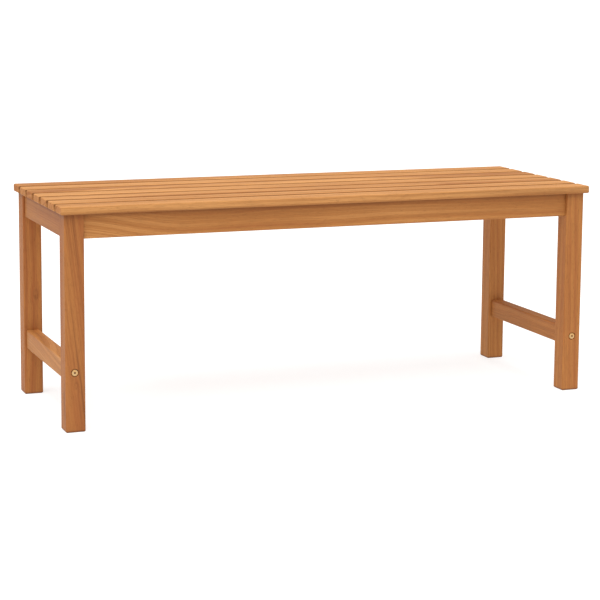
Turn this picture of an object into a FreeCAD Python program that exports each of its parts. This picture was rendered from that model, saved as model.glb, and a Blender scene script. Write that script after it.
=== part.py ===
import FreeCAD, Part
import os
import re
import Sketcher

# Backless bench: seven slats on a four-legged frame with one low rail at each end.
# Frame: origin on the floor under the middle of the seat, +X along the seat,
# +Y to the rear, +Z up. All sizes are in millimetres.

SLAT_COUNT = 7

SIZES = [
    # seat
    ("slat_count", SLAT_COUNT, ""),
    ("seat_length", 1165, "overall length of the seat"),
    ("seat_height", 450, "floor to the top of the slats"),
    ("slat_width", 49, ""),
    ("slat_thickness", 16, ""),
    ("slat_gap", 12, "open gap between two slats"),
    ("slat_rounding", 3, "eased edges of the slats"),
    ("end_overhang", 8, "seat past the legs at each end"),
    ("side_overhang", 10, "seat past the legs at front and rear"),
    # legs
    ("leg_width", 40, "legs are square"),
    ("leg_rounding", 2.5, "eased upright edges"),
    ("foot_chamfer", 2, ""),
    ("leg_corner_cut", 10, "flat on the inner corner that the hanger bolt pulls against"),
    # rails under the seat
    ("apron_height", 50, ""),
    ("apron_thickness", 20, ""),
    ("end_apron_setback", 5, "end aprons behind the leg faces"),
    ("apron_rounding", 1.5, ""),
    ("cross_rail_height", 40, ""),
    ("cross_rail_thickness", 24, ""),
    ("tenon_length", 10, "stub tenons of the cross rails"),
    ("tenon_thickness", 14, ""),
    ("tenon_height", 24, ""),
    ("tenon_clearance", 0.2, "gap round a tenon in its mortise"),
    # low rails
    ("stretcher_height", 40, ""),
    ("stretcher_thickness", 28, ""),
    ("stretcher_setback", 5, "stretchers behind the outer faces of the legs"),
    ("stretcher_level", 120, "floor to the middle of the stretchers"),
    ("stretcher_rounding", 3, ""),
    ("dowel_diameter", 8, ""),
    ("dowel_length", 30, "half in the leg, half in the stretcher"),
    ("dowel_end_room", 1, "spare depth of the dowel holes in the legs"),
    # corner blocks
    ("block_height", 36, ""),
    ("block_reach", 35.5, "size of the block measured along the aprons"),
    ("block_gap", 0.5, "block to leg, closed only by the bolt"),
    ("block_seat", 8, "wood left under the screw heads"),
    ("block_screw_offset", 11, "screws from the middle of the block, along the aprons"),
    # hanger bolts, washers and nuts
    ("hanger_diameter", 6, ""),
    ("hanger_depth", 24, "outer corner of the leg to the inner end of the bolt"),
    ("hanger_end", 3, "bolt past the nut"),
    ("hanger_bevel", 0.75, ""),
    ("washer_diameter", 12, ""),
    ("washer_thickness", 1.6, ""),
    ("nut_flats", 10, ""),
    ("nut_thickness", 5, ""),
    # stretcher bolts and barrel nuts
    ("bolt_diameter", 6, ""),
    ("bolt_head_diameter", 13, ""),
    ("bolt_head_thickness", 2.5, ""),
    ("bolt_head_rounding", 0.8, ""),
    ("bolt_socket_flats", 4, "hexagon socket"),
    ("bolt_socket_depth", 2.6, ""),
    ("bolt_end", 6, "bolt past the middle of the barrel nut"),
    ("counterbore_diameter", 16, "recess in the leg round the bolt head"),
    ("counterbore_depth", 3, ""),
    ("barrel_nut_diameter", 10, ""),
    ("barrel_nut_length", 14, ""),
    ("barrel_nut_inset", 28, "end of the stretcher to the middle of the barrel nut"),
    # wood screws
    ("screw_diameter", 4, ""),
    ("screw_length", 30, "slat screws, under the head"),
    ("screw_head_diameter", 8, ""),
    ("screw_head_thickness", 3, ""),
    ("slat_screw_seat", 18, "wood between the screw heads and the slats"),
    ("block_screw_length", 20, "corner block screws, under the head"),
    ("pilot_room", 0.5, "spare depth of blind holes past a screw"),
    ("fit_gap", 0.3, "gap all round every pin, screw and bolt in its hole"),
    # worked out from the sizes above
    ("slat_pitch", "=slat_width + slat_gap", ""),
    ("seat_depth", "=slat_count * slat_width + (slat_count - 1) * slat_gap", ""),
    ("frame_top", "=seat_height - slat_thickness", "top of legs and aprons"),
    ("frame_end", "=seat_length / 2 - end_overhang", "outer faces of the legs, along X"),
    ("frame_side", "=seat_depth / 2 - side_overhang", "outer faces of the legs, along Y"),
    ("leg_x", "=frame_end - leg_width / 2", ""),
    ("leg_y", "=frame_side - leg_width / 2", ""),
    ("long_clear", "=2 * (frame_end - leg_width)", "between the legs, along X"),
    ("short_clear", "=2 * (frame_side - leg_width)", "between the legs, along Y"),
    ("long_apron_setback", "=slat_width / 6", "keeps the aprons under the outer slats"),
    ("long_apron_inner", "=long_apron_setback + apron_thickness", ""),
    ("end_apron_inner", "=end_apron_setback + apron_thickness", ""),
    ("long_apron_y", "=frame_side - long_apron_setback - apron_thickness / 2", ""),
    ("end_apron_x", "=frame_end - end_apron_setback - apron_thickness / 2", ""),
    ("cross_rail_x", "=long_clear / 6", ""),
    ("cross_rail_length", "=2 * (frame_side - long_apron_inner)", "between the aprons"),
    ("mortise_depth", "=tenon_length + tenon_clearance", ""),
    ("stretcher_x", "=frame_end - stretcher_setback - stretcher_thickness / 2", ""),
    ("dowel_rise", "=0.3 * stretcher_height", "dowels above and below the bolt"),
    ("block_level", "=frame_top - apron_height / 2", "middle of the corner blocks"),
    ("leg_flat", "=2 * leg_width - leg_corner_cut", "flat of the leg: inward X plus inward Y"),
    ("block_near", "=leg_flat + block_gap", ""),
    ("block_far", "=block_near + block_reach", ""),
    ("block_screw_at", "=block_far / 2 + block_screw_offset", ""),
    ("hanger_seat", "=block_far / sqrt(2)", "outer corner of the leg to the washer"),
    ("hanger_length",
     "=hanger_seat + washer_thickness + nut_thickness + hanger_end - hanger_depth", ""),
    ("bolt_length", "=leg_width - counterbore_depth + barrel_nut_inset + bolt_end", ""),
    ("slat_pilot", "=screw_length - slat_screw_seat + pilot_room", ""),
    ("screw_spacing", "=slat_pitch - slat_width / 8", "outer screws keep clear of the blocks"),
    ("outer_screw_x", "=0.4 * long_clear", "long apron screws"),
    ("inner_screw_x", "=0.08 * long_clear", "long apron screws"),
    ("screw_hole", "=screw_diameter + 2 * fit_gap", ""),
    ("screw_head_hole", "=screw_head_diameter + 2 * fit_gap", ""),
    ("bolt_hole", "=bolt_diameter + 2 * fit_gap", ""),
    ("hanger_hole", "=hanger_diameter + 2 * fit_gap", ""),
    ("barrel_nut_hole", "=barrel_nut_diameter + 2 * fit_gap", ""),
    ("dowel_hole", "=dowel_diameter + 2 * fit_gap", ""),
]

ENDS = {"left": -1, "right": 1}
SIDES = {"front": -1, "rear": 1}
CORNERS = [(side + "_" + end, ENDS[end], SIDES[side]) for side in SIDES for end in ENDS]

X_AXIS = FreeCAD.Vector(1, 0, 0)
Y_AXIS = FreeCAD.Vector(0, 1, 0)
Z_AXIS = FreeCAD.Vector(0, 0, 1)

doc = FreeCAD.newDocument("backless_bench")
bodies = []


def make_sheet():
    """Put every size in the spreadsheet under its own name."""
    sheet = doc.addObject("Spreadsheet::Sheet", "Sizes")
    for row, (name, value, note) in enumerate(SIZES, start=1):
        sheet.set("A%d" % row, name)
        sheet.set("B%d" % row, str(value))
        sheet.setAlias("B%d" % row, name)
        sheet.set("C%d" % row, note)
    doc.recompute()


def size(formula):
    """Turn a formula of bare size names into one that reads the spreadsheet."""
    names = [name for name, value, note in SIZES]
    return re.sub("[a-z_]+", lambda word: "Sizes." * (word[0] in names) + word[0], formula)


def make_body(label, x="0", y="0", z="0", rotation=None):
    """A new sub-part with its own origin placed by three formulas."""
    body = doc.addObject("PartDesign::Body", label)
    body.Label = label
    if rotation is not None:
        body.Placement.Rotation = rotation
    for axis, formula in zip("xyz", (x, y, z)):
        body.setExpression("Placement.Base." + axis, size(formula))
    bodies.append(body)
    return body


def make_sketch(body, name, plane, level="0", turn=None):
    """A sketch parallel to one of the body's planes, lifted along that plane's axis."""
    sketch = body.newObject("Sketcher::SketchObject", body.Name + "_" + name)
    role = plane + "_Plane"
    support = [item for item in body.Origin.OriginFeatures if item.Role == role][0]
    sketch.AttachmentSupport = (support, [""])
    sketch.MapMode = "FlatFace"
    if turn is not None:
        sketch.AttachmentOffset = FreeCAD.Placement(FreeCAD.Vector(), turn)
    # The normal of the XZ plane points to -Y, the other two point along their axis.
    lift = "-1 * ( " + level + " )" if plane == "XZ" else level
    sketch.setExpression("AttachmentOffset.Base.z", size(lift))
    return sketch


def bind(sketch, constraint, formula):
    """Add a constraint and tie its value to a formula."""
    index = sketch.addConstraint(constraint)
    sketch.setExpression("Constraints[%d]" % index, size(formula))


def add_outline(sketch, points):
    """Closed outline through corners given as pairs of formulas."""
    first = sketch.GeometryCount
    count = len(points)
    corners = [FreeCAD.Vector(evaluate(x), evaluate(y), 0) for x, y in points]
    for index in range(count):
        sketch.addGeometry(Part.LineSegment(corners[index], corners[(index + 1) % count]))
    for index, (x, y) in enumerate(points):
        here = first + index
        following = first + (index + 1) % count
        sketch.addConstraint(Sketcher.Constraint("Coincident", here, 2, following, 1))
        bind(sketch, Sketcher.Constraint("DistanceX", -1, 1, here, 1, corners[index].x), x)
        bind(sketch, Sketcher.Constraint("DistanceY", -1, 1, here, 1, corners[index].y), y)


def add_rectangle(sketch, wide, tall, middle_x="0", middle_y="0"):
    """Rectangle given by its width, its height and its middle."""
    left = "%s - ( %s ) / 2" % (middle_x, wide)
    right = "%s + ( %s ) / 2" % (middle_x, wide)
    bottom = "%s - ( %s ) / 2" % (middle_y, tall)
    top = "%s + ( %s ) / 2" % (middle_y, tall)
    add_outline(sketch, [(left, bottom), (right, bottom), (right, top), (left, top)])


def add_circles(sketch, diameter, centres):
    """Equal circles at centres given as pairs of formulas."""
    for x, y in centres:
        centre = FreeCAD.Vector(evaluate(x), evaluate(y), 0)
        index = sketch.addGeometry(Part.Circle(centre, Z_AXIS, evaluate(diameter) / 2))
        bind(sketch, Sketcher.Constraint("DistanceX", -1, 1, index, 3, centre.x), x)
        bind(sketch, Sketcher.Constraint("DistanceY", -1, 1, index, 3, centre.y), y)
        bind(sketch, Sketcher.Constraint("Diameter", index, evaluate(diameter)), diameter)


def add_hexagon(sketch, flats):
    """Regular hexagon round the sketch origin, two flats parallel to the sketch X axis."""
    half = "( %s ) / 2" % flats
    corner = "( %s ) / sqrt(3)" % flats
    near = "( %s ) / sqrt(12)" % flats
    add_outline(sketch, [
        (corner, "0"), (near, half), ("-1 * " + near, half),
        ("-1 * " + corner, "0"), ("-1 * " + near, "-1 * " + half), (near, "-1 * " + half),
    ])


def evaluate(formula):
    """Present value of a formula of size names."""
    sheet = doc.getObject("Sizes")
    return float(sheet.evalExpression(size(formula)))


def grow(body, sketch, length, direction=1, both_ways=False):
    """Pad a sketch along (+1) or against (-1) the axis of its plane."""
    return extrude("PartDesign::Pad", body, sketch, length, direction, both_ways)


def cut(body, sketch, length, direction=1, both_ways=False):
    """Pocket a sketch and make sure that it removed material."""
    before = body.Shape.Volume
    pocket = extrude("PartDesign::Pocket", body, sketch, length, direction, both_ways)
    if body.Shape.Volume >= before:
        raise ValueError(pocket.Name + " removed nothing")
    return pocket


def extrude(kind, body, sketch, length, direction, both_ways):
    """Shared part of grow and cut."""
    feature = body.newObject(kind, sketch.Name + "_" + kind.split("::")[1].lower())
    feature.Profile = sketch
    feature.setExpression("Length", size(length))
    if both_ways:
        feature.SideType = "Symmetric"
    normal_sign = -1 if sketch.AttachmentSupport[0][0].Role == "XZ_Plane" else 1
    natural = normal_sign if kind == "PartDesign::Pad" else -normal_sign
    feature.Reversed = direction != natural
    doc.recompute()
    return feature


def edges_along(shape, axis):
    """Names of the straight edges of a shape that run along an axis."""
    names = []
    for index, edge in enumerate(shape.Edges, start=1):
        if isinstance(edge.Curve, Part.Line) and abs(edge.Curve.Direction.dot(axis)) > 0.999:
            names.append("Edge%d" % index)
    return names


def edges_at_level(shape, level):
    """Names of the edges that lie wholly at one height."""
    names = []
    for index, edge in enumerate(shape.Edges, start=1):
        if abs(edge.BoundBox.ZMin - level) < 0.001 and abs(edge.BoundBox.ZMax - level) < 0.001:
            names.append("Edge%d" % index)
    return names


def round_edges(body, feature, names, radius):
    """Fillet some edges of a feature."""
    fillet = body.newObject("PartDesign::Fillet", feature.Name + "_rounding")
    fillet.Base = (feature, names)
    fillet.setExpression("Radius", size(radius))
    doc.recompute()


def bevel_edges(body, feature, names, width):
    """Chamfer some edges of a feature."""
    chamfer = body.newObject("PartDesign::Chamfer", feature.Name + "_bevel")
    chamfer.Base = (feature, names)
    chamfer.setExpression("Size", size(width))
    doc.recompute()


def signed(sign, formula):
    """A formula times plus or minus one."""
    return "%d * ( %s )" % (sign, formula)


def make_slat(number):
    """One seat board, with blind pilot holes for its screws in the underside."""
    place = number - (SLAT_COUNT + 1) // 2
    body = make_body("seat_slat_%d" % number, y="%d * slat_pitch" % place, z="frame_top")
    outline = make_sketch(body, "outline", "XY")
    add_rectangle(outline, "seat_length", "slat_width")
    board = grow(body, outline, "slat_thickness")
    every_edge = ["Edge%d" % index for index in range(1, len(board.Shape.Edges) + 1)]
    round_edges(body, board, every_edge, "slat_rounding")
    if number in (1, SLAT_COUNT):
        side = -1 if number == 1 else 1
        across = "%s - %d * slat_pitch" % (signed(side, "long_apron_y"), place)
        along = ["outer_screw_x", "inner_screw_x"]
    else:
        across = "%d * ( screw_spacing - slat_pitch )" % place
        along = ["end_apron_x", "cross_rail_x"]
    centres = [(signed(end, x), across) for x in along for end in ENDS.values()]
    pilots = make_sketch(body, "pilots", "XY")
    add_circles(pilots, "screw_hole", centres)
    cut(body, pilots, "slat_pilot", 1)


def drill_for_slat_screws(body, height, centres):
    """Screw holes up through a rail whose top is at its own origin, heads sunk from below."""
    holes = make_sketch(body, "screw_holes", "XY")
    add_circles(holes, "screw_hole", centres)
    cut(body, holes, height, -1)
    heads = make_sketch(body, "head_holes", "XY", "-1 * slat_screw_seat")
    add_circles(heads, "screw_head_hole", centres)
    cut(body, heads, height, -1)


def make_long_apron(name, side):
    """Long rail between two legs, mortised for the cross rails."""
    body = make_body(name, y=signed(side, "long_apron_y"), z="frame_top")
    outline = make_sketch(body, "outline", "YZ")
    add_rectangle(outline, "apron_thickness", "apron_height", "0", "-1 * apron_height / 2")
    board = grow(body, outline, "long_clear", both_ways=True)
    round_edges(body, board, edges_along(board.Shape, X_AXIS), "apron_rounding")
    mortises = make_sketch(body, "mortises", "XZ", signed(-side, "apron_thickness / 2"))
    for end in ENDS.values():
        add_rectangle(mortises, "tenon_thickness + 2 * tenon_clearance",
                      "tenon_height + 2 * tenon_clearance",
                      signed(end, "cross_rail_x"), "-1 * cross_rail_height / 2")
    cut(body, mortises, "mortise_depth", side)
    centres = [(signed(end, x), "0") for x in ("outer_screw_x", "inner_screw_x")
               for end in ENDS.values()]
    drill_for_slat_screws(body, "apron_height", centres)
    pilots = make_sketch(body, "block_pilots", "XZ", signed(-side, "apron_thickness / 2"))
    add_circles(pilots, "screw_hole", [
        (signed(end, "frame_end - block_screw_at"), "-1 * apron_height / 2")
        for end in ENDS.values()])
    cut(body, pilots, "block_screw_length - block_seat + pilot_room", side)


def make_end_apron(name, end):
    """Short rail between a front and a rear leg."""
    body = make_body(name, x=signed(end, "end_apron_x"), z="frame_top")
    outline = make_sketch(body, "outline", "XZ")
    add_rectangle(outline, "apron_thickness", "apron_height", "0", "-1 * apron_height / 2")
    board = grow(body, outline, "short_clear", both_ways=True)
    round_edges(body, board, edges_along(board.Shape, Y_AXIS), "apron_rounding")
    drill_for_slat_screws(body, "apron_height", cross_screw_centres("0"))
    pilots = make_sketch(body, "block_pilots", "YZ", signed(-end, "apron_thickness / 2"))
    add_circles(pilots, "screw_hole", [
        (signed(side, "frame_side - block_screw_at"), "-1 * apron_height / 2")
        for side in SIDES.values()])
    cut(body, pilots, "block_screw_length - block_seat + pilot_room", end)


def cross_screw_centres(x):
    """Centres of the screws into the five inner slats, along one short rail."""
    reach = SLAT_COUNT // 2 - 1
    return [(x, "%d * screw_spacing" % place) for place in range(-reach, reach + 1)]


def make_cross_rail(name, end):
    """Short rail under the slats, with a stub tenon at each end."""
    body = make_body(name, x=signed(end, "cross_rail_x"), z="frame_top")
    outline = make_sketch(body, "outline", "XZ")
    add_rectangle(outline, "cross_rail_thickness", "cross_rail_height",
                  "0", "-1 * cross_rail_height / 2")
    board = grow(body, outline, "cross_rail_length", both_ways=True)
    round_edges(body, board, edges_along(board.Shape, Y_AXIS), "apron_rounding")
    tenons = make_sketch(body, "tenons", "XZ")
    add_rectangle(tenons, "tenon_thickness", "tenon_height", "0", "-1 * cross_rail_height / 2")
    grow(body, tenons, "cross_rail_length + 2 * tenon_length", both_ways=True)
    drill_for_slat_screws(body, "cross_rail_height", cross_screw_centres("0"))


def diagonal_turn(end, side):
    """Turn an upright sketch so that it faces along the diagonal of a leg corner."""
    return FreeCAD.Rotation(Y_AXIS, -45 * end * side)


def make_leg(name, end, side):
    """Square leg, drilled for its stretcher, its dowels and its hanger bolt."""
    body = make_body(name, x=signed(end, "leg_x"), y=signed(side, "leg_y"))
    outline = make_sketch(body, "outline", "XY")
    add_rectangle(outline, "leg_width", "leg_width")
    post = grow(body, outline, "frame_top")
    round_edges(body, post, edges_along(post.Shape, Z_AXIS), "leg_rounding")
    bevel_edges(body, body.Tip, edges_at_level(body.Shape, 0), "foot_chamfer")

    corner = make_sketch(body, "corner_cut", "XY", "frame_top")
    inner = "leg_width / 2"
    edge = "leg_width / 2 - leg_corner_cut"
    points = [(edge, inner), (inner, edge), (inner, inner)]
    add_outline(corner, [(signed(-end, x), signed(-side, y)) for x, y in points])
    cut(body, corner, "apron_height", -1)

    # The hanger bolt's hole is cut both ways from the middle of the leg, along the diagonal.
    for place, length, toward in (("deep", "leg_width / sqrt(2) - hanger_depth", side),
                                  ("mouth", "leg_width", -side)):
        hole = make_sketch(body, place + "_hanger_hole", "XZ", turn=diagonal_turn(end, side))
        add_circles(hole, "hanger_hole", [("0", "block_level")])
        cut(body, hole, length, toward)

    middle = signed(end, "stretcher_x - leg_x")
    bolt = make_sketch(body, "bolt_hole", "XZ")
    add_circles(bolt, "bolt_hole", [(middle, "stretcher_level")])
    cut(body, bolt, "leg_width", both_ways=True)
    recess = make_sketch(body, "bolt_recess", "XZ", signed(side, "leg_width / 2"))
    add_circles(recess, "counterbore_diameter", [(middle, "stretcher_level")])
    cut(body, recess, "counterbore_depth", -side)
    dowels = make_sketch(body, "dowel_holes", "XZ", signed(-side, "leg_width / 2"))
    add_circles(dowels, "dowel_hole", [
        (middle, "stretcher_level %s dowel_rise" % sign) for sign in "-+"])
    cut(body, dowels, "dowel_length / 2 + dowel_end_room", side)


def make_stretcher(name, end):
    """Low rail between a front and a rear leg."""
    body = make_body(name, x=signed(end, "stretcher_x"), z="stretcher_level")
    outline = make_sketch(body, "outline", "XZ")
    add_rectangle(outline, "stretcher_thickness", "stretcher_height")
    board = grow(body, outline, "short_clear", both_ways=True)
    round_edges(body, board, edges_along(board.Shape, Y_AXIS), "stretcher_rounding")
    for place, side in SIDES.items():
        bolt = make_sketch(body, place + "_bolt_hole", "XZ", signed(side, "short_clear / 2"))
        add_circles(bolt, "bolt_hole", [("0", "0")])
        cut(body, bolt, "barrel_nut_inset + bolt_end + pilot_room", -side)
        dowels = make_sketch(body, place + "_dowel_holes", "XZ", signed(side, "short_clear / 2"))
        add_circles(dowels, "dowel_hole", [("0", sign + "1 * dowel_rise") for sign in "-+"])
        cut(body, dowels, "dowel_length / 2", -side)
    nuts = make_sketch(body, "nut_holes", "XY", "-1 * stretcher_height / 2")
    add_circles(nuts, "barrel_nut_hole", [
        ("0", signed(side, "short_clear / 2 - barrel_nut_inset")) for side in SIDES.values()])
    cut(body, nuts, "( stretcher_height + barrel_nut_length ) / 2", 1)


def make_corner_block(name, end, side):
    """Block across a corner, held to both aprons by screws and to the leg by a hanger bolt."""
    body = make_body(name, x=signed(end, "frame_end"), y=signed(side, "frame_side"),
                     z="block_level")
    outline = make_sketch(body, "outline", "XY")
    points = [
        ("block_near - long_apron_inner", "long_apron_inner"),
        ("block_far - long_apron_inner", "long_apron_inner"),
        ("end_apron_inner", "block_far - end_apron_inner"),
        ("end_apron_inner", "block_near - end_apron_inner"),
    ]
    add_outline(outline, [(signed(-end, x), signed(-side, y)) for x, y in points])
    grow(body, outline, "block_height", both_ways=True)

    hanger = make_sketch(body, "hanger_hole", "XZ", turn=diagonal_turn(end, side))
    add_circles(hanger, "hanger_hole", [("0", "0")])
    cut(body, hanger, "2 * block_far", -side)

    # One screw runs along Y into the long apron, the other along X into the end apron.
    for plane, across, inner, toward in (("XZ", end, "long_apron_inner", side),
                                         ("YZ", side, "end_apron_inner", end)):
        centres = [(signed(-across, "block_screw_at"), "0")]
        hole = make_sketch(body, plane + "_screw_hole", plane,
                           signed(-toward, inner + " + block_seat"))
        add_circles(hole, "screw_hole", centres)
        cut(body, hole, "2 * block_seat", toward)
        head = make_sketch(body, plane + "_head_hole", plane,
                           signed(-toward, inner + " + block_seat"))
        add_circles(head, "screw_head_hole", centres)
        cut(body, head, "block_reach", -toward)


def make_hanger_hardware(name, end, side):
    """Hanger bolt, washer and nut of one corner, each along its own Z axis."""
    bolt = place_on_diagonal(name + "_hanger_bolt", end, side, "hanger_depth")
    rod = make_sketch(bolt, "rod", "XY")
    add_circles(rod, "hanger_diameter", [("0", "0")])
    shank = grow(bolt, rod, "hanger_length")
    tip = edges_at_level(shank.Shape, evaluate("hanger_length"))
    bevel_edges(bolt, shank, tip, "hanger_bevel")

    washer = place_on_diagonal(name + "_washer", end, side, "hanger_seat")
    ring = make_sketch(washer, "ring", "XY")
    add_circles(ring, "washer_diameter", [("0", "0")])
    add_circles(ring, "hanger_hole", [("0", "0")])
    grow(washer, ring, "washer_thickness")

    nut = place_on_diagonal(name + "_nut", end, side, "hanger_seat + washer_thickness")
    flats = make_sketch(nut, "flats", "XY")
    add_hexagon(flats, "nut_flats")
    add_circles(flats, "hanger_hole", [("0", "0")])
    grow(nut, flats, "nut_thickness")


def place_on_diagonal(label, end, side, distance):
    """A sub-part some way in from a leg's outer corner, its Z axis pointing inward."""
    turn = FreeCAD.Rotation(Z_AXIS, FreeCAD.Vector(-end, -side, 0))
    inward = "( %s ) / sqrt(2)" % distance
    return make_body(label, x="%s - %d * %s" % (signed(end, "frame_end"), end, inward),
                     y="%s - %d * %s" % (signed(side, "frame_side"), side, inward),
                     z="block_level", rotation=turn)


def make_stretcher_bolt(name, end, side):
    """Bolt through a leg into a barrel nut: seat of the head at its origin, shank to +Z."""
    turn = FreeCAD.Rotation(Z_AXIS, FreeCAD.Vector(0, -side, 0))
    body = make_body(name, x=signed(end, "stretcher_x"),
                     y=signed(side, "frame_side - counterbore_depth"),
                     z="stretcher_level", rotation=turn)
    disc = make_sketch(body, "head", "XY")
    add_circles(disc, "bolt_head_diameter", [("0", "0")])
    head = grow(body, disc, "bolt_head_thickness", -1)
    rim = edges_at_level(head.Shape, -evaluate("bolt_head_thickness"))
    round_edges(body, head, rim, "bolt_head_rounding")
    rod = make_sketch(body, "shank", "XY")
    add_circles(rod, "bolt_diameter", [("0", "0")])
    grow(body, rod, "bolt_length")
    socket = make_sketch(body, "socket", "XY", "-1 * bolt_head_thickness")
    add_hexagon(socket, "bolt_socket_flats")
    cut(body, socket, "bolt_socket_depth", 1)


def make_barrel_nut(name, end, side):
    """Cross-drilled cylinder pushed up into a stretcher from below."""
    body = make_body(name, x=signed(end, "stretcher_x"),
                     y=signed(side, "short_clear / 2 - barrel_nut_inset"),
                     z="stretcher_level")
    outline = make_sketch(body, "outline", "XY")
    add_circles(outline, "barrel_nut_diameter", [("0", "0")])
    grow(body, outline, "barrel_nut_length", both_ways=True)
    thread = make_sketch(body, "thread", "XZ")
    add_circles(thread, "bolt_hole", [("0", "0")])
    cut(body, thread, "2 * barrel_nut_diameter", both_ways=True)


def make_dowels():
    """All eight dowels of the stretchers."""
    body = make_body("stretcher_dowels", z="stretcher_level")
    centres = [(signed(end, "stretcher_x"), sign + "1 * dowel_rise")
               for end in ENDS.values() for sign in "-+"]
    for place, side in SIDES.items():
        pins = make_sketch(body, place, "XZ", signed(side, "short_clear / 2"))
        add_circles(pins, "dowel_diameter", centres)
        grow(body, pins, "dowel_length", both_ways=True)


def make_slat_screws(label, centres):
    """A set of equal screws driven up into the slats, given by their centres."""
    body = make_body(label, z="frame_top - slat_screw_seat")
    shanks = make_sketch(body, "shanks", "XY")
    add_circles(shanks, "screw_diameter", centres)
    grow(body, shanks, "screw_length")
    heads = make_sketch(body, "heads", "XY")
    add_circles(heads, "screw_head_diameter", centres)
    grow(body, heads, "screw_head_thickness", -1)


def make_corner_block_screws():
    """Two screws per corner block, one into each apron."""
    body = make_body("corner_block_screws", z="block_level")
    for side in SIDES.values():
        centres = [(signed(end, "frame_end - block_screw_at"), "0") for end in ENDS.values()]
        seat = signed(side, "frame_side - long_apron_inner - block_seat")
        add_block_screws(body, "XZ", seat, centres, side)
    for end in ENDS.values():
        centres = [(signed(side, "frame_side - block_screw_at"), "0") for side in SIDES.values()]
        seat = signed(end, "frame_end - end_apron_inner - block_seat")
        add_block_screws(body, "YZ", seat, centres, end)


def add_block_screws(body, plane, seat, centres, toward):
    """Screws with their heads seated at one level, driven towards one side."""
    name = plane + ("_minus" if toward < 0 else "_plus")
    shanks = make_sketch(body, name + "_shanks", plane, seat)
    add_circles(shanks, "screw_diameter", centres)
    grow(body, shanks, "block_screw_length", toward)
    heads = make_sketch(body, name + "_heads", plane, seat)
    add_circles(heads, "screw_head_diameter", centres)
    grow(body, heads, "screw_head_thickness", -toward)


def check_and_export():
    """Refuse to write anything unless every object and every sub-part is sound."""
    doc.recompute()
    for item in doc.Objects:
        if "Invalid" in item.State or "Error" in item.State:
            raise ValueError(item.Name + " did not compute")
    os.makedirs("parts", exist_ok=True)
    for body in bodies:
        if body.Shape.isNull() or not body.Shape.isValid():
            raise ValueError(body.Label + " is not a valid solid")
        body.Shape.exportStep("parts/%s.step" % body.Label)


make_sheet()
for number in range(1, SLAT_COUNT + 1):
    make_slat(number)
for side_name, side_sign in SIDES.items():
    make_long_apron(side_name + "_apron", side_sign)
for end_name, end_sign in ENDS.items():
    make_end_apron(end_name + "_end_apron", end_sign)
    make_cross_rail(end_name + "_cross_rail", end_sign)
    make_stretcher(end_name + "_stretcher", end_sign)
for corner_name, end_sign, side_sign in CORNERS:
    make_leg(corner_name + "_leg", end_sign, side_sign)
    make_corner_block(corner_name + "_corner_block", end_sign, side_sign)
    make_hanger_hardware(corner_name, end_sign, side_sign)
    make_stretcher_bolt(corner_name + "_stretcher_bolt", end_sign, side_sign)
    make_barrel_nut(corner_name + "_barrel_nut", end_sign, side_sign)
make_dowels()
make_slat_screws("end_apron_screws", [
    centre for end_sign in ENDS.values()
    for centre in cross_screw_centres(signed(end_sign, "end_apron_x"))])
make_slat_screws("cross_rail_screws", [
    centre for end_sign in ENDS.values()
    for centre in cross_screw_centres(signed(end_sign, "cross_rail_x"))])
make_slat_screws("long_apron_screws", [
    (signed(end_sign, x), signed(side_sign, "long_apron_y"))
    for x in ("outer_screw_x", "inner_screw_x")
    for end_sign in ENDS.values() for side_sign in SIDES.values()])
make_corner_block_screws()
check_and_export()
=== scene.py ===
import math

import bmesh
import bpy
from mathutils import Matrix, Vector, noise


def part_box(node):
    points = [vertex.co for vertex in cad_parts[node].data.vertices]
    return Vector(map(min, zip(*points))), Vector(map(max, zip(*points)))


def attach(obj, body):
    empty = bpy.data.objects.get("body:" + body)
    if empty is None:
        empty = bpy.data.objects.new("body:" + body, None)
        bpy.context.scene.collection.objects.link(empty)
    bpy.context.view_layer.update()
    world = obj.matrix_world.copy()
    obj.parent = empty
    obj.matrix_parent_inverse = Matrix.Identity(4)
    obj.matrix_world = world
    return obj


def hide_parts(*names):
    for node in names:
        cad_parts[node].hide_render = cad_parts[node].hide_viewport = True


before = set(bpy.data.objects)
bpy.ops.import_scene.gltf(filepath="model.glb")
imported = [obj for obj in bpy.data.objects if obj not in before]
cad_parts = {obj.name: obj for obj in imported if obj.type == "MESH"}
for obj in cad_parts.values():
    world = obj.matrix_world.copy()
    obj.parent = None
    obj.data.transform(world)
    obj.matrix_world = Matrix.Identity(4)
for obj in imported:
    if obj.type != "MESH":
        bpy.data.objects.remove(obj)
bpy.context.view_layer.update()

# Metres, in the frame of the CAD model: +X along the seat, +Y to the rear, +Z up.
X, Y, Z = 0, 1, 2
SIDES = {"front": -1, "rear": 1}
ENDS = {"left": -1, "right": 1}

# How the boards are finished: eased long edges, sawn ends and chamfered feet.
SLAT_EDGE = 0.0030
LEG_EDGE = 0.0026
APRON_EDGE = 0.0016
STRETCHER_EDGE = 0.0032
SAWN_END = 0.0006
FOOT_CHAMFER = 0.0022
STATION_STEP = 0.022
CORNER_STEPS = 5
SHARP_ANGLE = math.radians(38)

# The easing varies by this share of its radius, and never falls below the smallest share.
EDGE_UNEVENNESS = 0.22
SMALLEST_EDGE = 0.12
# How fast it varies along a board, from corner to corner and from board to board.
WOBBLE_ALONG = 9
WOBBLE_CORNER = 5.3
WOBBLE_BOARD = 3.7
SEEDS = {"long_rail": 11, "short_rail": 15, "low_rail": 21, "post": 30}

# Cuts in the boards, the same as in the CAD model.
LEG_CORNER_CUT = 0.010
BOLT_RECESS_RADIUS = 0.008
BOLT_RECESS_DEPTH = 0.003
BARREL_HOLE_RADIUS = 0.0053
BARREL_HOLE_INSET = 0.028
BARREL_HOLE_DEPTH = 0.027
SCREW_HOLE_RADIUS = 0.0043
SCREW_SEAT = 0.018
FIT_GAP = 0.0003
LONG_RAIL_SCREWS = (0.4, 0.08)
SHORT_RAIL_SCREWS = range(-2, 3)
HOLE_RIM = 0.0005
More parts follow.
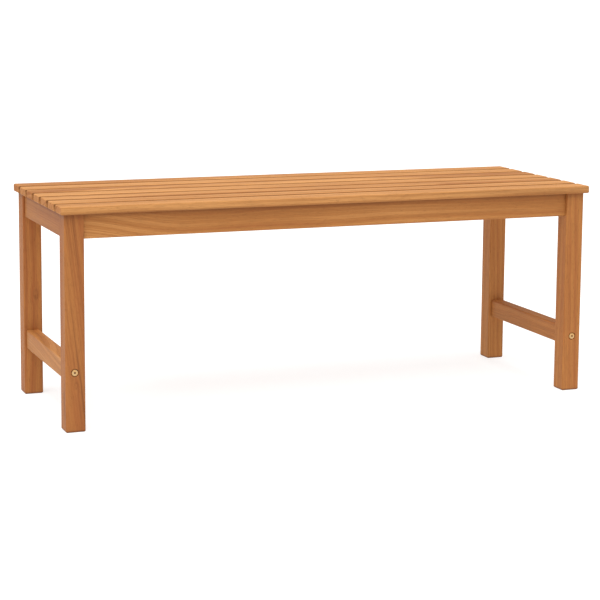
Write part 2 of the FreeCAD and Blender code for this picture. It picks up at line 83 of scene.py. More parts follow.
# How far cutters stand out past the faces that they cut.
MOUTH_REACH = 0.002
CUTTER_REACH = 0.010
LATHE_SIDES = 48


# ---------------------------------------------------------------- boards

def rounded_section(half_a, half_b, radii):
    """Points of a rectangle with four rounded corners, anticlockwise."""
    points = []
    signs = ((1, 1), (-1, 1), (-1, -1), (1, -1))
    for quarter, ((sign_a, sign_b), radius) in enumerate(zip(signs, radii)):
        for step in range(CORNER_STEPS + 1):
            angle = math.pi / 2 * (quarter + step / CORNER_STEPS)
            points.append((sign_a * (half_a - radius) + radius * math.cos(angle),
                           sign_b * (half_b - radius) + radius * math.sin(angle)))
    return points


def end_stations(rounding):
    """Distance from the end and inward step of the sections that round one end."""
    stations = []
    for step in range(CORNER_STEPS + 1):
        angle = math.pi / 2 * step / CORNER_STEPS
        stations.append((rounding * (1 - math.cos(angle)), rounding * (1 - math.sin(angle))))
    return stations


def chamfer_stations(width):
    """The same for a flat chamfer."""
    return [(0.0, width), (width, 0.0)]


def skin(mesh, rings):
    """Join rings of points into one closed surface."""
    for ring, following in zip(rings, rings[1:]):
        for i in range(len(ring)):
            j = (i + 1) % len(ring)
            mesh.faces.new((ring[i], ring[j], following[j], following[i]))
    mesh.faces.new(rings[0])
    mesh.faces.new(rings[-1])
    bmesh.ops.recalc_face_normals(mesh, faces=mesh.faces)


def board_mesh(name, low, high, axis, edge, low_end, high_end, seed):
    """A board swept along one axis, its long edges eased a little unevenly."""
    across_a, across_b = [i for i in (X, Y, Z) if i != axis]
    centre = (low + high) / 2
    half_a = (high[across_a] - low[across_a]) / 2
    half_b = (high[across_b] - low[across_b]) / 2
    length = high[axis] - low[axis]
    stations = list(low_end)
    inner = length - low_end[-1][0] - high_end[-1][0]
    count = max(2, round(inner / STATION_STEP))
    stations += [(low_end[-1][0] + inner * i / count, 0.0) for i in range(1, count)]
    stations += [(length - along, inward) for along, inward in reversed(high_end)]

    mesh = bmesh.new()
    rings = []
    for along, inward in stations:
        radii = []
        for corner in range(4):
            wobble = noise.noise(Vector((along * WOBBLE_ALONG, corner * WOBBLE_CORNER,
                                         seed * WOBBLE_BOARD)))
            radii.append(max(edge * (1 + EDGE_UNEVENNESS * wobble) - inward,
                             edge * SMALLEST_EDGE))
        ring = []
        for a, b in rounded_section(half_a - inward, half_b - inward, radii):
            point = Vector()
            point[axis] = low[axis] + along
            point[across_a] = centre[across_a] + a
            point[across_b] = centre[across_b] + b
            ring.append(mesh.verts.new(point))
        rings.append(ring)
    skin(mesh, rings)
    data = bpy.data.meshes.new(name)
    mesh.to_mesh(data)
    mesh.free()
    return data


def lathe(centre, direction, profile):
    """A closed turned shape: profile is (distance along direction, radius) pairs."""
    direction = direction.normalized()
    side = direction.orthogonal().normalized()
    other = direction.cross(side)
    mesh = bmesh.new()
    rings = []
    for along, radius in profile:
        ring = []
        for i in range(LATHE_SIDES):
            angle = 2 * math.pi * i / LATHE_SIDES
            offset = side * math.cos(angle) + other * math.sin(angle)
            ring.append(mesh.verts.new(centre + direction * along + offset * radius))
        rings.append(ring)
    skin(mesh, rings)
    return mesh_object("cutter", mesh)


def prism(outline, bottom, top):
    """A closed upright prism over a plan outline."""
    mesh = bmesh.new()
    lower = [mesh.verts.new((x, y, bottom)) for x, y in outline]
    upper = [mesh.verts.new((x, y, top)) for x, y in outline]
    mesh.faces.new(lower)
    mesh.faces.new(upper)
    for i in range(len(outline)):
        j = (i + 1) % len(outline)
        mesh.faces.new((lower[i], lower[j], upper[j], upper[i]))
    bmesh.ops.recalc_face_normals(mesh, faces=mesh.faces)
    return mesh_object("cutter", mesh)


def mesh_object(name, mesh):
    """Turn a bmesh into an object in the scene."""
    data = bpy.data.meshes.new(name)
    mesh.to_mesh(data)
    mesh.free()
    piece = bpy.data.objects.new(name, data)
    bpy.context.scene.collection.objects.link(piece)
    return piece


def hole(mouth, inward, radius, depth):
    """Cutter for a round hole with a slightly broken rim."""
    flare = radius + HOLE_RIM + MOUTH_REACH
    return lathe(mouth, inward, [(-MOUTH_REACH, flare), (HOLE_RIM, radius), (depth, radius)])


def carve(data, cutters):
    """Cut shapes out of a mesh and return the result."""
    piece = bpy.data.objects.new("blank", data)
    bpy.context.scene.collection.objects.link(piece)
    for cutter in cutters:
        modifier = piece.modifiers.new("cut", "BOOLEAN")
        modifier.object = cutter
        modifier.operation = "DIFFERENCE"
        modifier.solver = "EXACT"
    graph = bpy.context.evaluated_depsgraph_get()
    carved = bpy.data.meshes.new_from_object(piece.evaluated_get(graph))
    for item in [piece] + cutters:
        bpy.data.objects.remove(item)
    return carved


def finish_piece(name, data, node, material):
    """Shade a finished board and let it stand for its CAD node."""
    data.name = name
    data.shade_smooth()
    data.set_sharp_from_angle(angle=SHARP_ANGLE)
    data.materials.clear()
    data.materials.append(material)
    piece = bpy.data.objects.new(name, data)
    bpy.context.scene.collection.objects.link(piece)
    weighted = piece.modifiers.new("flat_faces", "WEIGHTED_NORMAL")
    weighted.keep_sharp = True
    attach(piece, "root")
    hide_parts(node)


def make_slat(number):
    """One seat board."""
    node = "seat_slat_%d" % number
    low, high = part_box(node)
    ends = end_stations(SLAT_EDGE)
    data = board_mesh(node, low, high, X, SLAT_EDGE, ends, ends, number)
    finish_piece("slat_%d" % number, data, node, board_wood(node, X))


def make_long_apron(side):
    """Long rail under the seat, with its screw holes in the underside."""
    node = side + "_apron"
    low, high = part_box(node)
    ends = end_stations(SAWN_END)
    data = board_mesh(node, low, high, X, APRON_EDGE, ends, ends,
                      SEEDS["long_rail"] + SIDES[side])
    length = high.x - low.x
    middle = (low.y + high.y) / 2
    up = Vector((0, 0, 1))
    cutters = [
        hole(Vector((sign * share * length, middle, low.z)), up, SCREW_HOLE_RADIUS,
             high.z - low.z - SCREW_SEAT)
        for sign in ENDS.values() for share in LONG_RAIL_SCREWS]
    data = carve(data, cutters)
    finish_piece(side + "_long_rail", data, node, board_wood(node, X))


def make_end_apron(end):
    """Short rail under the seat, with its screw holes in the underside."""
    node = end + "_end_apron"
    low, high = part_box(node)
    ends = end_stations(SAWN_END)
    data = board_mesh(node, low, high, Y, APRON_EDGE, ends, ends,
                      SEEDS["short_rail"] + ENDS[end])
    middle = (low.x + high.x) / 2
    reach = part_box("end_apron_screws")[1].y - SCREW_HOLE_RADIUS + FIT_GAP
    cutters = [
        hole(Vector((middle, reach * place / 2, low.z)), Vector((0, 0, 1)), SCREW_HOLE_RADIUS,
             high.z - low.z - SCREW_SEAT)
        for place in SHORT_RAIL_SCREWS]
    data = carve(data, cutters)
    finish_piece(end + "_short_rail", data, node, board_wood(node, Y))


def make_stretcher(end):
    """Low rail, with the two barrel-nut holes in its underside."""
    node = end + "_stretcher"
    low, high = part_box(node)
    ends = end_stations(SAWN_END)
    data = board_mesh(node, low, high, Y, STRETCHER_EDGE, ends, ends,
                      SEEDS["low_rail"] + ENDS[end])
    middle = (low.x + high.x) / 2
    cutters = [
        hole(Vector((middle, y, low.z)), Vector((0, 0, 1)), BARREL_HOLE_RADIUS, BARREL_HOLE_DEPTH)
        for y in (low.y + BARREL_HOLE_INSET, high.y - BARREL_HOLE_INSET)]
    data = carve(data, cutters)
    finish_piece(end + "_low_rail", data, node, board_wood(node, Y))


def make_leg(side, end):
    """Square leg with its bolt recess and the flat on its inner corner."""
    node = "%s_%s_leg" % (side, end)
    low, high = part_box(node)
    data = board_mesh(node, low, high, Z, LEG_EDGE, chamfer_stations(FOOT_CHAMFER),
                      end_stations(SAWN_END), SEEDS["post"] + 3 * SIDES[side] + ENDS[end])
    bolt_low, bolt_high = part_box(node.replace("_leg", "_stretcher_bolt"))
    bolt = (bolt_low + bolt_high) / 2
    face_y = low.y if SIDES[side] < 0 else high.y
    recess = hole(Vector((bolt.x, face_y, bolt.z)), Vector((0, -SIDES[side], 0)),
                  BOLT_RECESS_RADIUS, BOLT_RECESS_DEPTH)
    corner_x = low.x if ENDS[end] > 0 else high.x
    corner_y = low.y if SIDES[side] > 0 else high.y
    out_x, out_y = -ENDS[end] * CUTTER_REACH, -SIDES[side] * CUTTER_REACH
    cut_x, cut_y = ENDS[end] * LEG_CORNER_CUT, SIDES[side] * LEG_CORNER_CUT
    outline = [(corner_x + cut_x - out_x, corner_y + out_y),
               (corner_x + out_x, corner_y + cut_y - out_y),
               (corner_x + out_x, corner_y + out_y)]
    apron_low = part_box(side + "_apron")[0].z
    flat = prism(outline, apron_low, high.z + CUTTER_REACH)
    data = carve(data, [recess, flat])
    finish_piece("%s_%s_post" % (side, end), data, node, board_wood(node, Z))


# ---------------------------------------------------------------- node helpers

# Colour sockets of a Mix node.
MIX_FIRST, MIX_SECOND, MIX_RESULT = 6, 7, 2


def plug(tree, value, socket):
    """Feed a socket from another socket or from a plain value."""
    if isinstance(value, bpy.types.NodeSocket):
        tree.links.new(value, socket)
    else:
        socket.default_value = value


def calc(tree, operation, a, b=0.0, clamp=False):
    """One sum of two sockets or plain values."""
    item = tree.nodes.new("ShaderNodeMath")
    item.operation = operation
    item.use_clamp = clamp
    plug(tree, a, item.inputs[0])
    plug(tree, b, item.inputs[1])
    return item.outputs[0]


def stretch(tree, vector, factors):
    """A vector scaled differently along each axis."""
    item = tree.nodes.new("ShaderNodeVectorMath")
    item.operation = "MULTIPLY"
    plug(tree, vector, item.inputs[0])
    item.inputs[1].default_value = factors
    return item.outputs[0]


def clouds(tree, vector, factors, detail=2.0, rough=0.5):
    """Noise from 0 to 1, stretched differently along each axis."""
    item = tree.nodes.new("ShaderNodeTexNoise")
    item.inputs["Scale"].default_value = 1.0
    item.inputs["Detail"].default_value = detail
    item.inputs["Roughness"].default_value = rough
    plug(tree, stretch(tree, vector, factors), item.inputs["Vector"])
    return item.outputs["Fac"]


def bands(tree, distance, frequency, detail=2.0, rough=0.5):
    """Noise along one distance only, which gives uneven parallel bands."""
    item = tree.nodes.new("ShaderNodeTexNoise")
    item.noise_dimensions = "1D"
    item.inputs["Scale"].default_value = frequency
    item.inputs["Detail"].default_value = detail
    item.inputs["Roughness"].default_value = rough
    plug(tree, distance, item.inputs["W"])
    return item.outputs["Fac"]


def ramp(tree, value, start, end, low=0.0, high=1.0):
    """Smooth step from low to high as value goes from start to end."""
    item = tree.nodes.new("ShaderNodeMapRange")
    item.interpolation_type = "SMOOTHSTEP"
    plug(tree, value, item.inputs["Value"])
    item.inputs["From Min"].default_value = start
    item.inputs["From Max"].default_value = end
    item.inputs["To Min"].default_value = low
    item.inputs["To Max"].default_value = high
    return item.outputs["Result"]


def mix(tree, factor, a, b, blend="MIX"):
    """Colour a blended with colour b by a factor."""
    item = tree.nodes.new("ShaderNodeMix")
    item.data_type = "RGBA"
    item.blend_type = blend
    plug(tree, factor, item.inputs[0])
    plug(tree, a, item.inputs[MIX_FIRST])
    plug(tree, b, item.inputs[MIX_SECOND])
    return item.outputs[MIX_RESULT]


def relief(tree, shader, height, strength, distance):
    """Let a height stand out on the shader as bump."""
    bump = tree.nodes.new("ShaderNodeBump")
    bump.inputs["Strength"].default_value = strength
    bump.inputs["Distance"].default_value = distance
    tree.links.new(height, bump.inputs["Height"])
    tree.links.new(bump.outputs[0], shader.inputs["Normal"])


def new_material(name):
    """An empty material with its tree, shader and output."""
    material = bpy.data.materials.new(name)
    material.use_nodes = True
    tree = material.node_tree
    tree.nodes.clear()
    shader = tree.nodes.new("ShaderNodeBsdfPrincipled")
    output = tree.nodes.new("ShaderNodeOutputMaterial")
    tree.links.new(shader.outputs[0], output.inputs[0])
    return material, tree, shader


# ---------------------------------------------------------------- wood

PALE = (0.66, 0.310, 0.100, 1)
HONEY = (0.43, 0.170, 0.044, 1)
RUSSET = (0.33, 0.106, 0.028, 1)
DARK = (0.10, 0.030, 0.009, 1)

# Noise per metre, along the grain and twice across it.
BEND_GRAIN = (1.6, 7, 7)
RIPPLE_GRAIN = (9, 60, 60)
STREAK_GRAIN = (1.1, 85, 85)
FIBRE_GRAIN = (28, 1100, 1100)
PORE_GRAIN = (75, 1500, 1500)
PATCH_GRAIN = (2.2, 11, 11)

# How far the growth rings bend and ripple, in metres.
BEND_SIZE = 0.030
RIPPLE_SIZE = 0.0016
# Bands per metre from the pith.
BROAD_RINGS = 75
FINE_RINGS = 420
LATE_RINGS = 215
LATE_GROUPS = 60
LATE_SHARPNESS = 5.0

# How strongly each of them shows in the colour.
BROAD_SHARE = 1.3
FINE_SHARE = 0.7
PATCH_SHARE = 0.9
LATE_SHARE = 0.16
STREAK_SHARE = 0.6
PORE_SHARE = 0.45
END_SHARE = 0.45

# Roughness of the plain surface, and what fibres, pores and end grain add to it.
ROUGH = 0.52
FIBRE_ROUGH = 0.12
PORE_ROUGH = 0.15
END_ROUGH = 0.18

# Relief: how far fibres stand up, and pores and late wood lie low, as shares of the bump.
FIBRE_RISE = 0.5
PORE_DROP = 0.8
LATE_DROP = 0.35
WOOD_BUMP = 0.35
WOOD_BUMP_DEPTH = 0.0004
WOOD_GLOSS = 0.2

# Metres along the log from one board's place to the next.
LOG_SPACING = 3.1

# Painted shade, under the seat, between the slats and at the feet: metres down from the top or up from
# the floor, and how dark it gets.
GAP_SHADE_DEPTH = 0.0015
FOOT_SHADE_HEIGHT = 0.006
SEAT_SHADE_DEPTH = 0.013
GAP_SHADE_LOW, GAP_SHADE_HIGH = 0.30, 0.70
OUTER_FACE_SHADE = 0.18
RAIL_TOP_SHADE = 0.62
POST_TOP_SHADE = 0.35
FOOT_SHADE = 0.75

# For each board: tone (0 pale, 1 deep), position of the board in its log (metres
# from the pith, across the face and through the thickness), lean of the grain in
# degrees, strength of the dark streaks and strength of the growth rings.
BOARDS = {
    "seat_slat_1": (0.23, 0.060, 0.105, 0.5, 0.55, 1.2),
    "seat_slat_2": (0.15, 0.085, 0.060, -0.4, 0.40, 1.2),
    "seat_slat_3": (0.27, 0.040, 0.120, 0.3, 0.60, 1.3),
    "seat_slat_4": (0.15, 0.110, 0.070, -0.7, 0.45, 1.2),
    "seat_slat_5": (0.25, 0.020, 0.090, 0.4, 0.50, 1.3),
    "seat_slat_6": (0.13, 0.095, 0.085, 0.6, 0.40, 1.2),
    "seat_slat_7": (0.25, 0.050, 0.075, -0.3, 0.45, 1.2),
    "front_apron": (0.46, 0.070, 0.060, 0.3, 0.30, 0.75),
    "rear_apron": (0.52, 0.045, 0.080, -0.8, 0.30, 0.8),
    "left_end_apron": (0.78, 0.080, 0.050, 0.6, 0.30, 0.7),
    "right_end_apron": (0.50, 0.050, 0.070, -0.5, 0.30, 0.7),
    "left_stretcher": (0.46, 0.090, 0.050, 0.8, 0.25, 0.8),
    "right_stretcher": (0.70, 0.060, 0.080, -0.6, 0.30, 0.7),
    "front_left_leg": (0.86, 0.055, 0.070, -6.5, 0.80, 0.5),
    "front_right_leg": (0.64, 0.085, 0.065, -1.0, 0.25, 0.7),
    "rear_left_leg": (0.77, 0.070, 0.095, 0.8, 0.60, 0.8),
    "rear_right_leg": (0.48, 0.095, 0.050, -0.7, 0.35, 0.8),
    "left_cross_rail": (0.55, 0.050, 0.070, 0.7, 0.30, 0.8),
    "right_cross_rail": (0.52, 0.075, 0.055, -0.6, 0.30, 0.8),
    "front_left_corner_block": (0.55, 0.060, 0.050, 1.0, 0.30, 0.8),
    "front_right_corner_block": (0.50, 0.080, 0.060, -1.0, 0.30, 0.8),
    "rear_left_corner_block": (0.58, 0.045, 0.080, 0.5, 0.30, 0.8),
    "rear_right_corner_block": (0.52, 0.090, 0.045, -0.5, 0.30, 0.8),
    "stretcher_dowels": (0.10, 0.050, 0.050, 0.0, 0.20, 0.8),
}

# Where the grain runs out across a board: from, to (metres along it from its middle)
# and how far it drifts across the face.
SWEEPS = {
    "front_apron": (-0.56, -0.32, -0.034),
    "left_stretcher": (-0.16, 0.10, 0.020),
}

# Small knots: where along the board and across its face from the middle, and radius.
KNOTS = {
    "rear_left_leg": (0.0, 0.006, 0.0042),
    "front_left_leg": (-0.123, 0.001, 0.0028),
    "rear_apron": (0.210, -0.006, 0.0045),
    "seat_slat_5": (0.21, 0.009, 0.0050),
}
# A knot is twice as long as it is wide. In radii, the grain bends this far away, and the
# rim runs from one distance to the other.
KNOT_SQUASH = 0.5
KNOT_REACH = 4.5
KNOT_PULL = 0.85
RIM_START, RIM_END = 0.55, 1.8
RIM_STAIN = 0.2


def ring_pattern(tree, place, strength):
    """Growth rings by distance from the pith, and the thin dark lines of late wood."""
    bend = calc(tree, "SUBTRACT", clouds(tree, place, BEND_GRAIN, 2.0), 0.5)
    ripple = calc(tree, "SUBTRACT", clouds(tree, place, RIPPLE_GRAIN, 2.0), 0.5)
    split = tree.nodes.new("ShaderNodeSeparateXYZ")
    tree.links.new(place, split.inputs[0])
    square = calc(tree, "ADD", calc(tree, "POWER", split.outputs[Y], 2.0),
                  calc(tree, "POWER", split.outputs[Z], 2.0))
    radius = calc(tree, "SQRT", square)
    radius = calc(tree, "ADD", radius, calc(tree, "MULTIPLY", bend, BEND_SIZE))
    radius = calc(tree, "ADD", radius, calc(tree, "MULTIPLY", ripple, RIPPLE_SIZE))

    broad = calc(tree, "SUBTRACT", bands(tree, radius, BROAD_RINGS, 3.0, 0.55), 0.5)
    fine = calc(tree, "SUBTRACT", bands(tree, radius, FINE_RINGS, 2.0, 0.6), 0.5)
    rings = calc(tree, "ADD", calc(tree, "MULTIPLY", broad, BROAD_SHARE),
                 calc(tree, "MULTIPLY", fine, FINE_SHARE))
    phase = calc(tree, "FRACT", calc(tree, "MULTIPLY", radius, LATE_RINGS))
    late = calc(tree, "POWER", phase, LATE_SHARPNESS)
    groups = ramp(tree, bands(tree, radius, LATE_GROUPS, 1.0), 0.35, 0.65)
    late = calc(tree, "MULTIPLY", late, groups)
    return calc(tree, "MULTIPLY", rings, strength), calc(tree, "MULTIPLY", late, strength)


def wood_group():
    """Solid oiled hardwood. Its vector runs along the grain in X, from the pith outward in Y and Z."""
    tree = bpy.data.node_groups.new("solid_wood", "ShaderNodeTree")
    face = tree.interface
    face.new_socket("Vector", in_out="INPUT", socket_type="NodeSocketVector")
    # The last input carries painted shade, plus the dark rim round any knot.
    for name in ("Tone", "Streaks", "Rings", "End", "PaintedShadeAndKnotRim"):
        face.new_socket(name, in_out="INPUT", socket_type="NodeSocketFloat")
    face.new_socket("Color", in_out="OUTPUT", socket_type="NodeSocketColor")
    for name in ("Roughness", "Height"):
        face.new_socket(name, in_out="OUTPUT", socket_type="NodeSocketFloat")
    source = tree.nodes.new("NodeGroupInput")
    target = tree.nodes.new("NodeGroupOutput")
    place = source.outputs["Vector"]

    rings, late = ring_pattern(tree, place, source.outputs["Rings"])
    streak = ramp(tree, clouds(tree, place, STREAK_GRAIN, 3.0, 0.55), 0.54, 0.74)
    streak = calc(tree, "MULTIPLY", streak, source.outputs["Streaks"])
    fibre = clouds(tree, place, FIBRE_GRAIN, 2.0, 0.6)
    pores = ramp(tree, clouds(tree, place, PORE_GRAIN, 1.0, 0.5), 0.63, 0.74)
    patch = clouds(tree, place, PATCH_GRAIN, 2.0, 0.5)
    end = ramp(tree, source.outputs["End"], 0.75, 0.97)

    spread = calc(tree, "MULTIPLY", calc(tree, "SUBTRACT", patch, 0.5), PATCH_SHARE)
    depth = calc(tree, "ADD", calc(tree, "ADD", rings, spread), source.outputs["Tone"])
    colour = mix(tree, ramp(tree, depth, -0.1, 0.55), PALE, HONEY)
    colour = mix(tree, ramp(tree, depth, 0.45, 1.1), colour, RUSSET)
    colour = mix(tree, calc(tree, "MULTIPLY", late, LATE_SHARE, clamp=True), colour, RUSSET)
    colour = mix(tree, calc(tree, "MULTIPLY", streak, STREAK_SHARE), colour, DARK)
    shade = ramp(tree, fibre, 0.25, 0.75, 0.86, 1.10)
    grey = tree.nodes.new("ShaderNodeCombineColor")
    for socket in grey.inputs:
        tree.links.new(shade, socket)
    colour = mix(tree, 1.0, colour, grey.outputs[0], "MULTIPLY")
    colour = mix(tree, calc(tree, "MULTIPLY", pores, PORE_SHARE), colour, DARK)
    colour = mix(tree, calc(tree, "MULTIPLY", end, END_SHARE), colour, RUSSET)
    # Painted shade, and the dark rim round any knot, pull the colour toward DARK.
    colour = mix(tree, source.outputs["PaintedShadeAndKnotRim"], colour, DARK)
    tree.links.new(colour, target.inputs["Color"])

    rough = calc(tree, "ADD", ROUGH, calc(tree, "MULTIPLY", fibre, FIBRE_ROUGH))
    rough = calc(tree, "ADD", rough, calc(tree, "MULTIPLY", pores, PORE_ROUGH))
    rough = calc(tree, "ADD", rough, calc(tree, "MULTIPLY", end, END_ROUGH))
    tree.links.new(rough, target.inputs["Roughness"])

    height = calc(tree, "MULTIPLY", fibre, FIBRE_RISE)
    height = calc(tree, "SUBTRACT", height, calc(tree, "MULTIPLY", pores, PORE_DROP))
    height = calc(tree, "SUBTRACT", height, calc(tree, "MULTIPLY", late, LATE_DROP))
    tree.links.new(height, target.inputs["Height"])
    return tree


def painted_shade(tree, node, place, facing):
    """How much painted shade the wood gets: on the sides of the slats, under the seat and at the feet.
    """
    low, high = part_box(node)
    # Aprons: painted shadow of the seat along their tops.
    if node.endswith("_apron"):
        return ramp(tree, place.outputs[Z], high.z - SEAT_SHADE_DEPTH, high.z, 0.0, RAIL_TOP_SHADE)
    # Legs: painted shade at the feet by the floor, and painted shadow of the seat at their tops.
    if node.endswith("_leg"):
        foot = ramp(tree, place.outputs[Z], low.z, low.z + FOOT_SHADE_HEIGHT, FOOT_SHADE, 0.0)
        top = ramp(tree, place.outputs[Z], high.z - SEAT_SHADE_DEPTH, high.z, 0.0, POST_TOP_SHADE)
        return calc(tree, "ADD", foot, top)
    if not node.startswith("seat_slat_"):
        return None
    # Slats: painted shade down the sides that face a neighbour across a gap, darker further down.
    deep = ramp(tree, place.outputs[Z], high.z - GAP_SHADE_DEPTH, high.z - GAP_SHADE_DEPTH / 6, 1.0, 0.0)
    deep = calc(tree, "MULTIPLY", deep, ramp(tree, place.outputs[Z], low.z, high.z - GAP_SHADE_DEPTH,
                                             GAP_SHADE_LOW, GAP_SHADE_HIGH))
    side = facing.outputs[Y]
    if node == "seat_slat_7":
        side = calc(tree, "MULTIPLY", side, -1.0)
    elif node != "seat_slat_1":
        side = calc(tree, "ABSOLUTE", side)
    inner = calc(tree, "MULTIPLY", deep, ramp(tree, side, 0.2, 0.7))
    # The outer face of the front and rear slats gets a light painted shade too.
    return calc(tree, "ADD", inner, ramp(tree, side, -0.7, -0.3, OUTER_FACE_SHADE, 0.0))


def bend_round_knot(tree, along, face, knot):
    """Lead the grain round a knot; also returns how dark the knot's rim is."""
    place, offset, radius = knot
    aside = calc(tree, "SUBTRACT", face, offset)
    lengthwise = calc(tree, "MULTIPLY", calc(tree, "SUBTRACT", along, place), KNOT_SQUASH)
    reach = calc(tree, "SQRT", calc(tree, "ADD", calc(tree, "MULTIPLY", aside, aside),
                                    calc(tree, "MULTIPLY", lengthwise, lengthwise)))
    pull = calc(tree, "MULTIPLY", aside,
                ramp(tree, reach, 0.0, KNOT_REACH * radius, KNOT_PULL, 0.0))
    rim = calc(tree, "MULTIPLY", ramp(tree, reach, RIM_START * radius, radius),
               ramp(tree, reach, radius, RIM_END * radius, RIM_STAIN, 0.0))
    return calc(tree, "SUBTRACT", face, pull), rim


def board_wood(node, axis):
    """The wood of one board, cut from its own place in the log."""
    tone, across, through, lean, streaks, rings = BOARDS[node]
    material, tree, shader = new_material("wood_" + node)
    low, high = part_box(node)
    centre = (low + high) / 2
    size = high - low
    others = sorted((i for i in (X, Y, Z) if i != axis), key=lambda i: -size[i])

    where = tree.nodes.new("ShaderNodeTexCoord")
    split = tree.nodes.new("ShaderNodeSeparateXYZ")
    tree.links.new(where.outputs["Object"], split.inputs[0])
    along = calc(tree, "SUBTRACT", split.outputs[axis], centre[axis])
    face = calc(tree, "SUBTRACT", split.outputs[others[0]], centre[others[0]])
    rim = None
    if node in KNOTS:
        face, rim = bend_round_knot(tree, along, face, KNOTS[node])
    face = calc(tree, "SUBTRACT", face, calc(tree, "MULTIPLY", along, math.tan(math.radians(lean))))
    if node in SWEEPS:
        start, stop, drift = SWEEPS[node]
        face = calc(tree, "SUBTRACT", face, ramp(tree, along, start, stop, 0.0, drift))
    join = tree.nodes.new("ShaderNodeCombineXYZ")
    index = list(BOARDS).index(node)
    tree.links.new(calc(tree, "ADD", along, LOG_SPACING * index), join.inputs[0])
    tree.links.new(calc(tree, "ADD", face, across), join.inputs[1])
    tree.links.new(calc(tree, "ADD", split.outputs[others[1]], through - centre[others[1]]),
                   join.inputs[2])

    surface = tree.nodes.new("ShaderNodeNewGeometry")
    facing = tree.nodes.new("ShaderNodeSeparateXYZ")
    tree.links.new(surface.outputs["Normal"], facing.inputs[0])
    end = calc(tree, "ABSOLUTE", facing.outputs[axis])

    wood = tree.nodes.new("ShaderNodeGroup")
    wood.node_tree = SOLID_WOOD
    tree.links.new(join.outputs[0], wood.inputs["Vector"])
    wood.inputs["Tone"].default_value = tone
    wood.inputs["Streaks"].default_value = streaks
    wood.inputs["Rings"].default_value = rings
    tree.links.new(end, wood.inputs["End"])
    # Painted shade for this board, plus the dark rim round any knot.
    shade_and_knot_rim = painted_shade(tree, node, split, facing)
    if rim is not None:
        shade_and_knot_rim = calc(tree, "ADD", shade_and_knot_rim, rim)
    if shade_and_knot_rim is not None:
        tree.links.new(shade_and_knot_rim, wood.inputs["PaintedShadeAndKnotRim"])
    tree.links.new(wood.outputs["Color"], shader.inputs["Base Color"])
    tree.links.new(wood.outputs["Roughness"], shader.inputs["Roughness"])
    relief(tree, shader, wood.outputs["Height"], WOOD_BUMP, WOOD_BUMP_DEPTH)
    shader.inputs["Specular IOR Level"].default_value = WOOD_GLOSS
    return material


# ---------------------------------------------------------------- metal

# For each plating: colour, colour of its clouded patches and roughness.
YELLOW_ZINC = ((0.64, 0.37, 0.14, 1), (0.60, 0.42, 0.22, 1), 0.28)
BRIGHT_ZINC = ((0.62, 0.62, 0.63, 1), (0.54, 0.56, 0.60, 1), 0.30)

CLOUDS_PER_METRE = (160, 160, 160)
BRUSHING_PER_METRE = (2500, 2500, 2500)
BRUSHING_ROUGH = 0.16
METAL_BUMP = 0.2
METAL_BUMP_DEPTH = 0.00005


def plated_metal(name, base, tint, base_rough):
    """Zinc-plated steel: faint clouded tint and fine brushing."""
    material, tree, shader = new_material(name)
    where = tree.nodes.new("ShaderNodeTexCoord")
    cloud = clouds(tree, where.outputs["Object"], CLOUDS_PER_METRE, 3.0, 0.6)
    grain = clouds(tree, where.outputs["Object"], BRUSHING_PER_METRE, 2.0, 0.6)
    tree.links.new(mix(tree, ramp(tree, cloud, 0.4, 0.65), base, tint), shader.inputs["Base Color"])
    rough = calc(tree, "ADD", base_rough, calc(tree, "MULTIPLY", grain, BRUSHING_ROUGH))
    tree.links.new(rough, shader.inputs["Roughness"])
    relief(tree, shader, grain, METAL_BUMP, METAL_BUMP_DEPTH)
    shader.inputs["Metallic"].default_value = 1.0
    return material


def dress_cad_nodes():
    """Give every CAD node that stays visible its own finish."""
    yellow = plated_metal("yellow_zinc", *YELLOW_ZINC)
    steel = plated_metal("bright_zinc", *BRIGHT_ZINC)
    for name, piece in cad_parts.items():
        if name.endswith("_cross_rail"):
            material = board_wood(name, Y)
        elif name.endswith("_corner_block") or name == "stretcher_dowels":
            material = board_wood(name, Z if name.endswith("_block") else Y)
        elif name.endswith(("_stretcher_bolt", "_barrel_nut")):
            material = yellow
        elif not piece.hide_render:
            material = steel
        else:
            continue
        piece.data.materials.clear()
        piece.data.materials.append(material)


# ---------------------------------------------------------------- surroundings

SKY = 0.55
FLOOR_GLOW = 0.70
FLOOR_SIZE = 60
FLOOR_GREYS = ((0.41, 0.41, 0.41, 1), (0.43, 0.43, 0.43, 1))
FLOOR_CLOUDS = (3, 3, 3)
FLOOR_ROUGH = 0.9
FLOOR_GLOSS = 0.1

LAMP = 3.0
LAMP_SPREAD = math.radians(60)
LAMP_DIRECTION = Vector((0.22, 0.30, -0.93))

LENS = 110.99
SHIFT_UP = -0.12
CAMERA_PLACE = Vector((-1.4452, -3.6660, 0.9171))
CAMERA_TARGET = Vector((-0.0060, 0.0, 0.3563))
CAMERA_ROLL = math.radians(0.45)


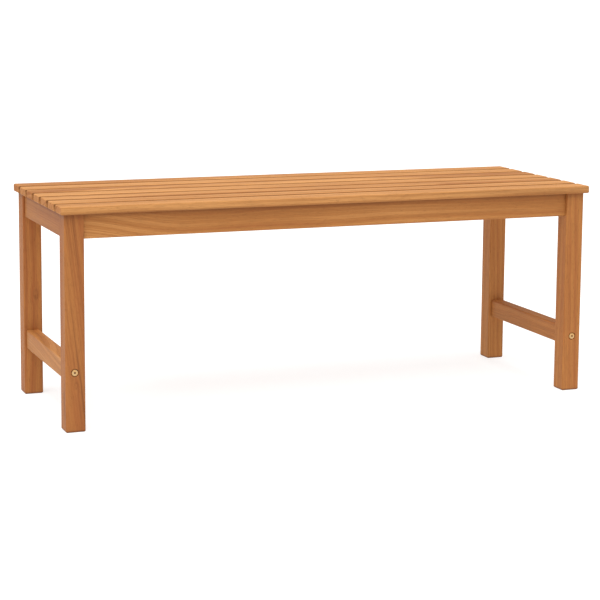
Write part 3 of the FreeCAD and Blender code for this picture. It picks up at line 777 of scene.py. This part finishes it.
def make_floor():
    """A plain pale floor, wide enough to fill the view."""
    mesh = bmesh.new()
    bmesh.ops.create_grid(mesh, x_segments=2, y_segments=2, size=FLOOR_SIZE)
    floor = mesh_object("floor", mesh)
    material, tree, shader = new_material("pale_floor")
    where = tree.nodes.new("ShaderNodeTexCoord")
    faint = clouds(tree, where.outputs["Object"], FLOOR_CLOUDS, 2.0)
    tree.links.new(mix(tree, faint, *FLOOR_GREYS), shader.inputs["Base Color"])
    shader.inputs["Roughness"].default_value = FLOOR_ROUGH
    shader.inputs["Specular IOR Level"].default_value = FLOOR_GLOSS
    shader.inputs["Emission Color"].default_value = (1, 1, 1, 1)
    shader.inputs["Emission Strength"].default_value = FLOOR_GLOW
    floor.data.materials.append(material)


def make_sun():
    """One very large soft lamp, high up in front and to the left."""
    data = bpy.data.lights.new("soft_lamp", "SUN")
    data.energy = LAMP
    data.angle = LAMP_SPREAD
    lamp = bpy.data.objects.new("soft_lamp", data)
    bpy.context.scene.collection.objects.link(lamp)
    lamp.rotation_euler = LAMP_DIRECTION.to_track_quat("-Z", "Y").to_euler()


def make_world():
    """Even white surroundings, seen as white but giving a softer light."""
    world = bpy.data.worlds.new("studio")
    world.use_nodes = True
    tree = world.node_tree
    backdrop = tree.nodes["Background"]
    backdrop.inputs["Color"].default_value = (1, 1, 1, 1)
    ray = tree.nodes.new("ShaderNodeLightPath")
    seen = calc(tree, "MULTIPLY", ray.outputs["Is Camera Ray"], 1 - SKY)
    tree.links.new(calc(tree, "ADD", seen, SKY), backdrop.inputs["Strength"])
    bpy.context.scene.world = world


def make_camera():
    """A long lens, in front of the bench and to its left."""
    data = bpy.data.cameras.new("camera")
    data.lens = LENS
    data.shift_y = SHIFT_UP
    camera = bpy.data.objects.new("camera", data)
    bpy.context.scene.collection.objects.link(camera)
    aim = (CAMERA_TARGET - CAMERA_PLACE).to_track_quat("-Z", "Y").to_euler()
    aim.rotate_axis("Z", CAMERA_ROLL)
    camera.location = CAMERA_PLACE
    camera.rotation_euler = aim
    bpy.context.scene.camera = camera


SOLID_WOOD = wood_group()
for slat in range(1, 8):
    make_slat(slat)
for side_name in SIDES:
    make_long_apron(side_name)
    for end_name in ENDS:
        make_leg(side_name, end_name)
for end_name in ENDS:
    make_end_apron(end_name)
    make_stretcher(end_name)
dress_cad_nodes()
make_floor()
make_world()
make_sun()
make_camera()
bpy.context.scene.view_settings.view_transform = "Standard"
